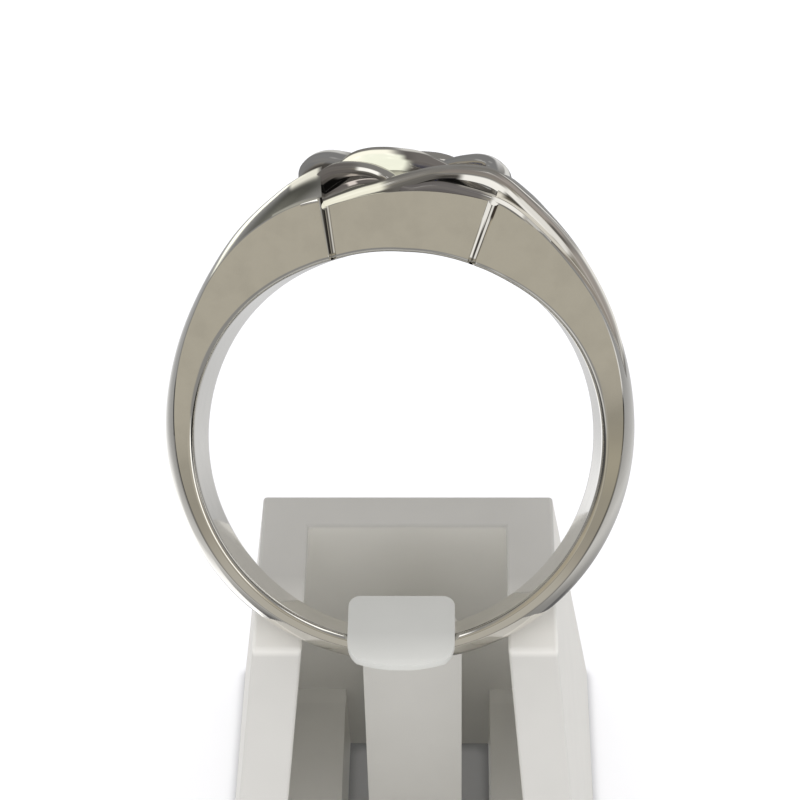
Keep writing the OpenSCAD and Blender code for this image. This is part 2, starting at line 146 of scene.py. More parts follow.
# What the metal mirrors, each laid over those before it
MIRRORED = [
    # azimuth from straight behind, elevation, half width, half height, softness, level, colour
    (-60, -80, 130, 16, 4, 0.14, "#fbfbff"),  # shaded tray under the ring
    (-60, -60, 24, 8, 4, 1.40, "#ffffff"),  # lit tray beside it, on the left
    (-20, -50, 130, 6, 18, 0.70, "#ffffff"),  # tray further out
    (-32, 0, 18, 18, 22, 0.08, "#f6f8ec"),  # dark strip of room behind the tray
    (-16, -32, 9, 4, 4, 1.50, "#fffff0"),  # the tray's lit far edge
    (-35, -52, 24, 4, 14, 1.50, "#ffffff"),  # lit tray behind the stand
    (85, -5, 45, 11, 22, 0.95, "#ffffff"),  # right wall
    (-130, 4, 30, 25, 4, 0.08, "#ffffff"),  # opening at the front left
    (120, -10, 15, 16, 4, 0.03, "#ffffff"),  # opening at the front right
    (-40, 30, 10, 40, 20, 0.45, "#fffff4"),  # tall fold in the wall behind
    (26, -16, 5, 12, 4, 1.50, "#ffffff"),  # slim panel behind, on the right
    (170, -50, 22, 20, 4, 0.50, "#ffffff"),  # tray towards the viewer
    (-100, 70, 60, 6, 4, 1.60, "#ffffff"),  # roof panel on the left
    (65, 60, 30, 8, 4, 1.60, "#ffffff"),  # roof panel on the right
    (-165, 36, 85, 18, 22, 0.47, "#fff4dc"),  # warm grey room over the opening
    (-156, -10, 8, 16, 20, 0.95, "#ffffff"),  # slim panel at the front left
    (145, 25, 12, 20, 4, 1.60, "#ffffff"),  # panel at the front right
    (180, 30, 30, 23, 6, 0.50, "#fff9e9"),  # room straight in front
]

world = bpy.data.worlds.new("light tent")
world.use_nodes = True
bpy.context.scene.world = world
tree = world.node_tree
tree.nodes.clear()
way = add_node(tree, "ShaderNodeTexCoord").outputs["Generated"]
way = add_node(tree, "ShaderNodeSeparateXYZ", Vector=way).outputs
azimuth = add_node(tree, "ShaderNodeMath", {"operation": "ARCTAN2"}, n0=way["X"], n1=way["Y"])
azimuth = add_node(tree, "ShaderNodeMath", {"operation": "DEGREES"}, n0=azimuth)
elevation = add_node(tree, "ShaderNodeMath", {"operation": "ARCSINE"}, n0=way["Z"])
elevation = add_node(tree, "ShaderNodeMath", {"operation": "DEGREES"}, n0=elevation)
seen = times(linear("#ffffff"), REST_OF_ROOM)
for azimuth_0, elevation_0, half_w, half_h, soft, light, sheet in MIRRORED:
    mask = patch_mask(
        tree, (azimuth, elevation), (azimuth_0, elevation_0), (half_w, half_h), (soft, soft)
    )
    colour = times(linear(sheet), light)
    seen = add_node(tree, "ShaderNodeMix", {"data_type": "RGBA"}, n0=mask, n6=seen, n7=colour)
mirrored = add_node(tree, "ShaderNodeBackground", Color=seen, Strength=1.0)
overhead = add_node(tree, "ShaderNodeMapRange", Value=way["Z"], To_Min=TENT_WALL, To_Max=TENT_ROOF)
soft_light = add_node(tree, "ShaderNodeBackground", Color=TENT_WHITE, Strength=overhead)
# Light that the metal throws on a matt surface is the tent's soft light too
ray = add_node(tree, "ShaderNodeLightPath").outputs
from_metal = add_node(
    tree, "ShaderNodeMath", {"operation": "LESS_THAN"}, n0=ray["Diffuse Depth"], n1=0.5
)
from_metal = add_node(
    tree, "ShaderNodeMath", {"operation": "MULTIPLY"}, n0=ray["Is Glossy Ray"], n1=from_metal
)
tent = add_node(tree, "ShaderNodeMixShader", n0=from_metal, n1=soft_light, n2=mirrored)
add_node(tree, "ShaderNodeOutputWorld", Surface=tent)

bpy.context.scene.view_settings.view_transform = "Standard"


# The tray
# A sheet of white coated card, cut larger than what the photograph takes in and laid flat. The
# stand is only put down on it.

TRAY_HALF = 300.0
PAINTED_CONTACT_REACH = 0.7
PAINTED_CONTACT_LEVEL = 0.6
# Painted shadow on the card below the stand, which shows through the stand's slot
COVERED_MIDDLE = (0.0, -1.0)
COVERED_HALF = (7.0, 11.0)
COVERED_SOFT = (2.0, 2.0)
COVERED_SHADE = 0.48
CARD_GLOW = 0.12
BLACK = (0.0, 0.0, 0.0, 1.0)

corners = np.array(((-1, -1, 0), (1, -1, 0), (1, 1, 0), (-1, 1, 0))) * TRAY_HALF * MM
mesh = bpy.data.meshes.new("tray")
mesh.from_pydata(corners.tolist(), [], [(0, 1, 2, 3)])
tray = bpy.data.objects.new("tray", mesh)
bpy.context.scene.collection.objects.link(tray)

# Coated card has no grain that the eye can see, so it is an even matt white. It throws light
# back on what stands on it. Its colour carries painted shade: a painted shadow close to whatever
# stands on it and a painted shadow below the stand; a faint glow of its own keeps the rest white.
card = bpy.data.materials.new("white coated card")
card.use_nodes = True
tree = card.node_tree
tree.nodes.clear()
nearby = add_node(
    tree, "ShaderNodeAmbientOcclusion", {"samples": 8}, Distance=PAINTED_CONTACT_REACH * MM
)
# Painted shadow close to whatever stands on the card, darkest where it touches
painted_contact_shadow = add_node(
    tree,
    "ShaderNodeMapRange",
    Value=nearby.outputs["AO"],
    From_Min=0.5,
    From_Max=0.9,
    To_Min=PAINTED_CONTACT_LEVEL,
)
place = add_node(tree, "ShaderNodeTexCoord").outputs["Object"]
place = add_node(tree, "ShaderNodeVectorMath", {"operation": "SCALE"}, n0=place, Scale=1 / MM)
place = add_node(tree, "ShaderNodeSeparateXYZ", Vector=place).outputs
# Painted shadow on the card below the stand
painted_stand_shadow = patch_mask(tree, (place["X"], place["Y"]), COVERED_MIDDLE, COVERED_HALF, COVERED_SOFT)
lit = add_node(
    tree, "ShaderNodeMath", {"operation": "MULTIPLY_ADD"}, n0=painted_stand_shadow, n1=-COVERED_SHADE, n2=1.0
)
lit = add_node(tree, "ShaderNodeMath", {"operation": "MULTIPLY"}, n0=painted_contact_shadow, n1=lit)
white = linear("#f2f2f2")
shown = add_node(tree, "ShaderNodeMix", {"data_type": "RGBA"}, n0=lit, n6=BLACK, n7=white)
face = add_node(
    tree,
    "ShaderNodeBsdfPrincipled",
    Base_Color=shown,
    Roughness=0.8,
    Emission_Color=shown,
    Emission_Strength=CARD_GLOW,
)
add_node(tree, "ShaderNodeOutputMaterial", Surface=face)
mesh.materials.append(card)
# The metal mirrors the tray as one of the studio's places instead
tray.visible_glossy = False


# The hoop
# Cast white gold, filed flat on both side faces and rounded outside, then polished. Wide
# shoulders end at a V groove on each side, and a thinner bridge joins them under the strands.

BORE_R = 8.42
PALM_W = 2.8
TOP_W = 10.0
PALM_WALL = 0.56
RIM_CHAMFER = 0.24
EDGE_ROUND = 0.035
BRIDGE_TURN = 19.2
SHOULDER_TURN = 19.5
BRIDGE_R = 10.4
BRIDGE_TWIST = 0.014
GROOVE_HALF_TURN = 1.12
GROOVE_DEPTH = 0.18
GROOVE_LEAN = 13.5
GROOVE_SKEW = 3.0
GROOVE_TURN = -0.75
GROOVE_MID_R = 9.25
GROOVE_REACH = 9.0
RING_ROLL = 3.2
HOOP_EDGE_ANGLE = np.radians(30)
HOOP_ROUGHNESS = 0.05

HOOP_ROWS = np.array(
    [
        # turn, flatten, wall, dome, spread, lean, power
        (0, 0.46, 1.66, 1.36, 1.00, -0.13, 3.0),
        (20, 0.38, 1.66, 1.32, 0.99, -0.13, 3.0),
        (25, 0.34, 1.62, 1.15, 0.97, -0.03, 2.9),
        (30, 0.30, 1.54, 0.96, 0.95, 0.05, 2.7),
        (40, 0.18, 1.33, 0.75, 0.89, 0.13, 2.3),
        (50, 0.08, 1.10, 0.55, 0.81, 0.10, 2.0),
        (60, 0.02, 0.82, 0.54, 0.71, 0.05, 1.9),
        (75, 0.00, 0.48, 0.61, 0.53, 0.03, 1.9),
        (90, 0.00, 0.25, 0.71, 0.37, 0.01, 1.9),
        (110, -0.02, 0.09, 0.76, 0.23, 0.00, 1.9),
        (135, -0.05, 0.03, 0.72, 0.12, 0.00, 1.9),
        (160, -0.07, 0.00, 0.66, 0.03, 0.00, 1.9),
        (180, -0.07, 0.00, 0.64, 0.00, 0.00, 1.9),
    ]
)


def between_rows(keys, rows, at):
    """A table read between its rows: a cubic through each pair of rows, whose slope at a row
    is the difference of its two neighbours divided by the distance between them."""
    i = np.clip(np.searchsorted(keys, at, side="right") - 1, 0, len(keys) - 2)
    before = np.maximum(np.arange(len(keys)) - 1, 0)
    after = np.minimum(np.arange(len(keys)) + 1, len(keys) - 1)
    slope = (rows[after] - rows[before]) / (keys[after] - keys[before])[:, None]
    step = (keys[i + 1] - keys[i])[:, None]
    f = (at - keys[i])[:, None] / step
    return (
        (2 * f**3 - 3 * f**2 + 1) * rows[i]
        + (f**3 - 2 * f**2 + f) * step * slope[i]
        + (3 * f**2 - 2 * f**3) * rows[i + 1]
        + (f**3 - f**2) * step * slope[i + 1]
    )


def in_clip(turn, radius, along):
    """A place on the ring in metres, as the clip holds it: turn degrees clockwise from the
    top, radius from the finger hole's axis, and along the finger to the far side. The ring
    rolls by RING_ROLL and leans back by 45 degrees about its centre."""
    a = np.radians(turn + RING_ROLL)
    x, y, z = radius * np.sin(a), along, radius * np.cos(a)
    half = np.sqrt(0.5)
    place = np.stack(np.broadcast_arrays(x, (y + z) * half, (z - y) * half), axis=-1)
    return (place + RING_CENTRE) * MM


def skin(name, points, closed_rows, caps, row_marks=None):
    """A mesh object over a grid of points whose columns close on themselves. The rows close
    too, or each end gets one flat cap. Its map holds each corner's row, as a part of their
    count or as that row's mark, and its column as a part of theirs."""
    rows, cols = points.shape[:2]
    a = np.arange(rows if closed_rows else rows - 1)[:, None] * cols
    b = (np.arange(a.shape[0])[:, None] + 1) % rows * cols
    j = np.arange(cols)[None, :]
    k = (j + 1) % cols
    quads = np.stack((a + j, a + k, b + k, b + j), axis=-1).reshape(-1, 4).tolist()
    if caps:
        quads.append(list(range(cols - 1, -1, -1)))
        quads.append(list(range((rows - 1) * cols, rows * cols)))
    made = bpy.data.meshes.new(name)
    made.from_pydata(points.reshape(-1, 3).tolist(), [], quads)
    made.shade_smooth()
    marks = np.linspace(0, 1, a.shape[0] + 1) if row_marks is None else row_marks
    mark = np.stack((marks[:-1], marks[:-1], marks[1:], marks[1:]), axis=-1)[:, None, :]
    column = np.stack((j, j + 1, j + 1, j), axis=-1) / cols
    corners = np.stack(np.broadcast_arrays(mark, column), axis=-1).reshape(-1, 2)
    grid_map = np.zeros((len(made.loops), 2))
    grid_map[: len(corners)] = corners
    made.uv_layers.new(name="grid").data.foreach_set("uv", grid_map.ravel())
    piece = bpy.data.objects.new(name, made)
    bpy.context.scene.collection.objects.link(piece)
    return piece

# Points across each part of a section: the bore, a rim's corner, a side face and the crown
BORE_POINTS, RIM_POINTS, FACE_POINTS, CROWN_POINTS = 15, 4, 15, 65


def hoop_profile(turn):
    """Sections of the hoop at an array of turns, as radius and place along the finger. Each
    runs over the bore, a rounded rim, the near side face, the crown, the far side face and
    the other rim. The crown's radius falls from its middle with a power of the distance to
    it, and a V groove dips each side face at the ends of the bridge."""
    size = np.abs(turn)
    columns = between_rows(HOOP_ROWS[:, 0], HOOP_ROWS[:, 1:], size).T[:, :, None]
    flatten, wall, dome, spread, lean, power = columns
    on_bridge = (size < (BRIDGE_TURN + SHOULDER_TURN) / 2)[:, None]
    inner = BORE_R - flatten
    half = PALM_W / 2 + (TOP_W - PALM_W) / 2 * spread
    outer = np.where(on_bridge, BRIDGE_R, BORE_R + PALM_WALL + wall)
    rise = np.where(on_bridge, 0.0, dome)
    tilt = np.where(on_bridge, -BRIDGE_TWIST * turn[:, None], np.sign(turn)[:, None] * lean)

    def crown(s):
        return outer + rise * (1 - np.abs(s) ** power) + tilt * s

    bore_s = np.linspace(1, -1, BORE_POINTS)[None, :]
    corner = np.radians(np.linspace(0, 90, RIM_POINTS + 2))[1:-1][None, :]
    face_f = np.linspace(0, 1, FACE_POINTS)[None, :]
    crown_s = np.linspace(-1, 1, CROWN_POINTS)[None, :]
    dip = GROOVE_DEPTH * np.clip(1 - np.abs(size - BRIDGE_TURN) / GROOVE_HALF_TURN, 0, 1)[:, None]
    rim_r = inner + RIM_CHAMFER * (1 - np.cos(corner))
    rim_y = half - RIM_CHAMFER * (1 - np.sin(corner)) - dip
    face_foot = inner + RIM_CHAMFER
    face_rise = face_f * (crown(-1) - EDGE_ROUND - face_foot)
    far_rise = face_f[:, ::-1] * (crown(1) - EDGE_ROUND - face_foot)
    outline = (
        (inner, bore_s * (half - RIM_CHAMFER)),
        (rim_r, -rim_y),
        (face_foot + face_rise, dip - half),
        (crown(crown_s * (1 - EDGE_ROUND / half)), crown_s * (half - EDGE_ROUND)),
        (face_foot + far_rise, half - dip),
        (rim_r[:, ::-1], rim_y[:, ::-1]),
    )
    radius, along = zip(*(np.broadcast_arrays(*part) for part in outline))
    return np.concatenate(radius, axis=1), np.concatenate(along, axis=1)


# Where the sections stand, closest together at the grooves and over the shoulders
TURN_STEPS = (
    # from turn, to turn, steps
    (0.0, 16.4, 20),
    (16.4, BRIDGE_TURN, 15),
    (BRIDGE_TURN, SHOULDER_TURN, 1),
    (SHOULDER_TURN, 22.0, 13),
    (22.0, 60.0, 76),
    (60.0, 180.0, 120),
)
right_side = np.concatenate([np.linspace(*row, endpoint=False) for row in TURN_STEPS])
hoop_turn = np.concatenate(((-180.0,), -right_side[:0:-1], right_side))
radius, along = hoop_profile(hoop_turn)
# Beside a groove the sections lean with it: the groove's line passes through its middle radius
# at its own turn, and its turn at another radius is that line's direction there.
side = np.sign(hoop_turn)[:, None]
start = np.radians(BRIDGE_TURN + side * GROOVE_TURN)
slope = np.tan(np.radians(GROOVE_LEAN + side * GROOVE_SKEW))
line_rise = (radius - GROOVE_MID_R) * np.cos(start)
line_run = GROOVE_MID_R * np.sin(start) + line_rise * slope
line_turn = np.degrees(np.arctan2(line_run, GROOVE_MID_R * np.cos(start) + line_rise))
near_groove = np.clip(1 - np.abs(np.abs(hoop_turn) - BRIDGE_TURN) / GROOVE_REACH, 0, 1)[:, None]
leaned = hoop_turn[:, None] + side * (line_turn - BRIDGE_TURN) * near_groove
hoop_marks = np.append(hoop_turn, hoop_turn[0] + 360) / 360 + 0.5
hoop = skin("hoop", in_clip(leaned, radius, along), True, False, hoop_marks)

GOLD = linear("#e4e1da")
CREVICE_SHADE_REACH = 0.7
CREVICE_SHADE_LEVEL = 0.25
RIPPLE_WIDTH = 0.5
WEAR_WIDTH = 0.12
CLOUD_WIDTH = 1.1
WORN_ROUGHER = 0.05


def gold_material(name, roughness):
    """Polished white gold. The polish is a near mirror with a faint orange-peel ripple and fine
    wear, and its colour is darkened with painted shade where crevices close over it. Gives the
    material, its tree and its metal shader."""
    made = bpy.data.materials.new(name)
    made.use_nodes = True
    tree = made.node_tree
    tree.nodes.clear()
    place = add_node(tree, "ShaderNodeTexCoord").outputs["Object"]
    ripple, wear, cloud = (
        add_node(tree, "ShaderNodeTexNoise", Vector=place, Scale=1 / (width * MM), Detail=detail)
        for width, detail in ((RIPPLE_WIDTH, 2.0), (WEAR_WIDTH, 3.0), (CLOUD_WIDTH, 3.0))
    )
    # Painted shade: the colour is darkened where crevices close over the metal
    open_sky = add_node(
        tree, "ShaderNodeAmbientOcclusion", {"samples": 8}, Distance=CREVICE_SHADE_REACH * MM
    )
    painted_crevice_shade = add_node(
        tree,
        "ShaderNodeMapRange",
        Value=open_sky.outputs["AO"],
        From_Min=0.1,
        From_Max=0.6,
        To_Min=CREVICE_SHADE_LEVEL,
    )
    mottle = add_node(
        tree,
        "ShaderNodeMapRange",
        Value=cloud,
        From_Min=0.3,
        From_Max=0.7,
        To_Min=0.94,
        To_Max=1.03,
    )
    tone = add_node(tree, "ShaderNodeMath", {"operation": "MULTIPLY"}, n0=painted_crevice_shade, n1=mottle)
    colour = add_node(tree, "ShaderNodeMix", {"data_type": "RGBA"}, n0=tone, n6=BLACK, n7=GOLD)
    worn = add_node(
        tree,
        "ShaderNodeMapRange",
        Value=wear,
        From_Min=0.35,
        From_Max=0.75,
        To_Min=roughness,
        To_Max=roughness + WORN_ROUGHER,
    )
    bump = add_node(tree, "ShaderNodeBump", Height=ripple, Strength=0.06, Distance=0.02 * MM)
    metal = add_node(
        tree,
        "ShaderNodeBsdfPrincipled",
        Base_Color=colour,
        Metallic=1.0,
        Roughness=worn,
        Normal=bump,
    )
    return made, tree, metal


# The part of the surface that a painted highlight or painted shade takes over from the metal
PAINTED_GLINT_PART = 0.9


def add_painted_glints(tree, metal, calm, calm_part, painted_glints):
    """Lays soft-edged patches of painted reflection, glowing colours, over a metal shader, each at
    a turn and a place round the section, in degrees on the piece's map, and gives the material's
    surface. Between them, calm, a painted flat reflection, is laid over the metal for its own part."""
    grid = add_node(tree, "ShaderNodeUVMap", {"uv_map": "grid"})
    grid = add_node(tree, "ShaderNodeSeparateXYZ", Vector=grid).outputs
    turn = add_node(
        tree, "ShaderNodeMath", {"operation": "MULTIPLY_ADD"}, n0=grid["X"], n1=360.0, n2=-180.0
    )
    around = add_node(tree, "ShaderNodeMath", {"operation": "MULTIPLY"}, n0=grid["Y"], n1=360.0)
    seen, part = calm, calm_part
    for turn_0, half_l, soft_l, around_0, half_a, soft_a, light, sheet in painted_glints:
        mask = patch_mask(
            tree, (turn, around), (turn_0, around_0), (half_l, half_a), (soft_l, soft_a)
        )
        colour = times(linear(sheet), light)
        seen = add_node(tree, "ShaderNodeMix", {"data_type": "RGBA"}, n0=mask, n6=seen, n7=colour)
        part = add_node(
            tree, "ShaderNodeMix", {"data_type": "FLOAT"}, n0=mask, n2=part, n3=PAINTED_GLINT_PART
        )
    tint = {"data_type": "RGBA", "blend_type": "MULTIPLY"}
    tinted = add_node(tree, "ShaderNodeMix", tint, n0=1.0, n6=seen, n7=GOLD)
    painted_glow = add_node(tree, "ShaderNodeEmission", Color=tinted, Strength=1.0)
    surface = add_node(tree, "ShaderNodeMixShader", n0=part, n1=metal, n2=painted_glow)
    add_node(tree, "ShaderNodeOutputMaterial", Surface=surface)


# Painted reflections and painted shade on the hoop: painted highlights and dark lines in the filed
# grooves with a dark red painted shadow in the right one, painted dark over the bridge below the
# strands, a painted highlight at the left shoulder's end, and even painted reflections along the
# narrow lower side faces
HOOP_PAINTED_GLINTS = [
    # turn, its half length and softness, place round the section, its half length and softness,
    # level of light, colour
    (180, 72, 50, 81, 22, 6, 0.44, "#fff7e8"),
    (180, 55, 20, 81, 22, 6, 0.56, "#f8f4ea"),
    (92, 12, 24, 81, 22, 6, 0.42, "#fff7e0"),
    (0, 18.4, 1.5, 203, 96, 6, 0.015, "#ffffff"),
    (-22.80, 3.00, 1.4, 148, 18, 20, 1.10, "#fffff6"),
    (-19.30, 1.10, 0.2, 81, 23, 2, 0.50, "#fff9e9"),
    (-20.10, 0.12, 0.12, 81, 23, 2, 0.34, "#ffffff"),
    (-19.60, 0.38, 0.15, 81, 23, 2, 0.02, "#f2ece8"),
    (-18.90, 0.20, 0.15, 81, 23, 2, 0.16, "#f2ece8"),
    (-18.50, 0.12, 0.15, 81, 23, 2, 0.80, "#ffffff"),
    (18.75, 0.60, 0.15, 81, 23, 2, 1.10, "#ffffff"),
    (19.15, 0.26, 0.15, 69, 14, 16, 0.12, "#f2ece8"),
    (18.20, 0.14, 0.12, 69, 14, 16, 0.36, "#fff9e9"),
    (19.30, 0.09, 0.08, 81, 23, 2, 0.05, "#f2ece8"),
    (19.70, 0.25, 0.12, 81, 23, 2, 0.95, "#ffffff"),
    (20.05, 0.09, 0.08, 81, 23, 2, 0.12, "#f2ece8"),
    (20.10, 0.30, 0.20, 97, 9, 4, 0.03, "#8a3038"),
]
white_gold, tree, metal = gold_material("polished white gold", HOOP_ROUGHNESS)
add_painted_glints(tree, metal, BLACK, 0.0, HOOP_PAINTED_GLINTS)
hoop.data.materials.append(white_gold)
hoop.data.set_sharp_from_angle(angle=HOOP_EDGE_ANGLE)
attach(hoop, "root")
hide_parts("band")


# The woven strands
# Drawn wire, flattened to an oval and bent over and under its neighbours, then soldered to the
# bridge and the shoulders. The far half is the near half turned half round.

WEAVE_TURN = -1.75
STRAND_SIDES = 28
STRAND_STEPS = 12
STRAND_EDGE_ANGLE = np.radians(60)
WIRE_ROUGHNESS = 0.08

STRANDS = {
    # turn, distance to the near side, height, half width, half thickness
    "strand_over": [
        (-20.0, 4.41, 10.13, 0.46, 0.26),
        (-13.5, 4.44, 10.25, 0.52, 0.30),
        (-9.2, 4.41, 10.36, 0.56, 0.32),
        (-5.2, 4.38, 10.47, 0.60, 0.33),
        (-1.2, 4.34, 10.68, 0.64, 0.32),
        (2.8, 4.29, 10.94, 0.68, 0.29),
        (6.8, 4.24, 11.21, 0.72, 0.27),
        (10.8, 4.16, 11.39, 0.74, 0.29),
        (14.8, 4.08, 11.52, 0.75, 0.34),
        (17.8, 4.02, 11.56, 0.75, 0.37),
        (20.8, 3.97, 11.46, 0.74, 0.36),
        (24.8, 3.90, 11.22, 0.72, 0.37),
        (29.8, 3.80, 10.95, 0.68, 0.40),
        (37.8, 3.58, 10.62, 0.62, 0.42),
        (47.8, 3.20, 10.28, 0.54, 0.38),
        (59.8, 2.66, 9.95, 0.46, 0.32),
        (72.0, 2.20, 9.62, 0.40, 0.24),
    ],
    "strand_under": [
        (-30.0, 1.90, 10.20, 0.70, 0.30),
        (-24.5, 2.10, 10.55, 0.76, 0.34),
        (-20.5, 2.32, 10.86, 0.78, 0.35),
        (-17.2, 2.55, 11.19, 0.78, 0.36),
        (-13.6, 2.95, 11.43, 0.78, 0.37),
        (-10.4, 3.35, 11.43, 0.76, 0.32),
        (-6.6, 3.70, 11.28, 0.74, 0.27),
        (-3.6, 3.90, 11.02, 0.72, 0.25),
        (-1.8, 4.00, 10.80, 0.70, 0.24),
        (0.8, 4.15, 10.54, 0.68, 0.22),
        (3.2, 4.24, 10.48, 0.66, 0.22),
        (5.8, 4.32, 10.60, 0.62, 0.25),
        (8.8, 4.38, 10.69, 0.60, 0.26),
        (13.8, 4.42, 10.69, 0.56, 0.26),
        (19.8, 4.45, 10.70, 0.52, 0.26),
        (22.2, 4.45, 10.60, 0.50, 0.25),
    ],
    "strand_crossing": [
        (-22.0, 1.40, 10.60, 0.66, 0.30),
        (-18.2, 1.60, 10.95, 0.70, 0.34),
        (-13.2, 1.90, 11.38, 0.75, 0.36),
        (-9.8, 2.02, 11.75, 0.79, 0.39),
        (-7.0, 2.00, 11.82, 0.82, 0.43),
        (-4.2, 1.95, 11.77, 0.85, 0.48),
        (-1.0, 1.68, 11.70, 0.84, 0.50),
        (2.0, 1.38, 11.66, 0.80, 0.48),
        (4.6, 1.06, 11.58, 0.76, 0.42),
        (7.2, 0.74, 11.46, 0.73, 0.37),
        (9.4, 0.45, 11.28, 0.72, 0.36),
        (13.8, -0.15, 11.02, 0.70, 0.35),
        (19.8, -0.85, 10.96, 0.68, 0.34),
        (25.0, -1.35, 10.90, 0.66, 0.34),
    ],
    "strand_loop": [
        (-23.0, -2.40, 10.76, 0.40, 0.34),
        (-21.7, -1.70, 11.14, 0.44, 0.36),
        (-20.7, -1.02, 11.44, 0.48, 0.38),
        (-19.9, -0.40, 11.71, 0.56, 0.40),
        (-18.7, 0.06, 12.00, 0.66, 0.40),
        (-17.1, 0.30, 12.14, 0.72, 0.40),
        (-15.0, 0.46, 12.12, 0.74, 0.40),
        (-12.6, 0.62, 11.94, 0.74, 0.40),
        (-10.4, 0.82, 11.73, 0.72, 0.40),
        (-8.4, 1.04, 11.50, 0.70, 0.38),
        (-6.0, 1.32, 11.24, 0.66, 0.36),
        (-3.2, 1.62, 11.06, 0.62, 0.34),
        (-0.4, 1.90, 10.96, 0.58, 0.32),
        (2.0, 2.10, 10.74, 0.54, 0.30),
        (4.0, 2.24, 10.32, 0.50, 0.28),
    ],
    "strand_inner": [
        (-20.0, 3.60, 10.30, 0.40, 0.20),
        (-15.6, 3.36, 10.50, 0.44, 0.22),
        (-12.0, 3.16, 10.68, 0.46, 0.24),
        (-8.0, 2.96, 10.74, 0.46, 0.24),
        (-4.0, 2.76, 10.62, 0.44, 0.24),
        (0.0, 2.56, 10.34, 0.40, 0.22),
    ],
    "strand_rim": [
        (18.0, 4.74, 10.72, 0.20, 0.16),
        (22.5, 4.76, 10.72, 0.22, 0.16),
        (27.0, 4.72, 10.60, 0.20, 0.14),
        (33.0, 4.60, 10.38, 0.17, 0.12),
        (40.0, 4.40, 10.12, 0.13, 0.10),
    ],
}


def strand_skin(rows, half_round):
    """Rings of an oval carried along a strand's rows, which stands square to the ring's
    radius, and a mark for each ring, which is its turn as a part of the circle. half_round
    is -1 for the half of the weave that is turned round."""
    rows = np.array(rows)
    count = (len(rows) - 1) * STRAND_STEPS + 1
    at = np.linspace(0, len(rows) - 1, count)
    turn, near, height, half_w, half_t = between_rows(np.arange(len(rows)), rows, at).T
    marks = turn / 360 + 0.5
    turn, near = half_round * turn, half_round * near
    a = np.radians(turn)
    middle = np.stack((height * np.sin(a), -near, height * np.cos(a)), axis=-1)
    run = np.gradient(middle, axis=0)
    run /= np.linalg.norm(run, axis=1, keepdims=True)
    outward = np.stack((np.sin(a), 0 * a, np.cos(a)), axis=-1)
    side = np.cross(run, outward)
    side /= np.linalg.norm(side, axis=1, keepdims=True)
    lift = np.cross(side, run)
    b = np.linspace(0, 2 * np.pi, STRAND_SIDES, endpoint=False)[None, :, None]
    wide = half_w[:, None, None] * side[:, None]
    thick = half_t[:, None, None] * lift[:, None]
    x, y, z = np.moveaxis(middle[:, None] + wide * np.cos(b) + thick * np.sin(b), -1, 0)
    return in_clip(np.degrees(np.arctan2(x, z)) + WEAVE_TURN, np.hypot(x, z), y), marks


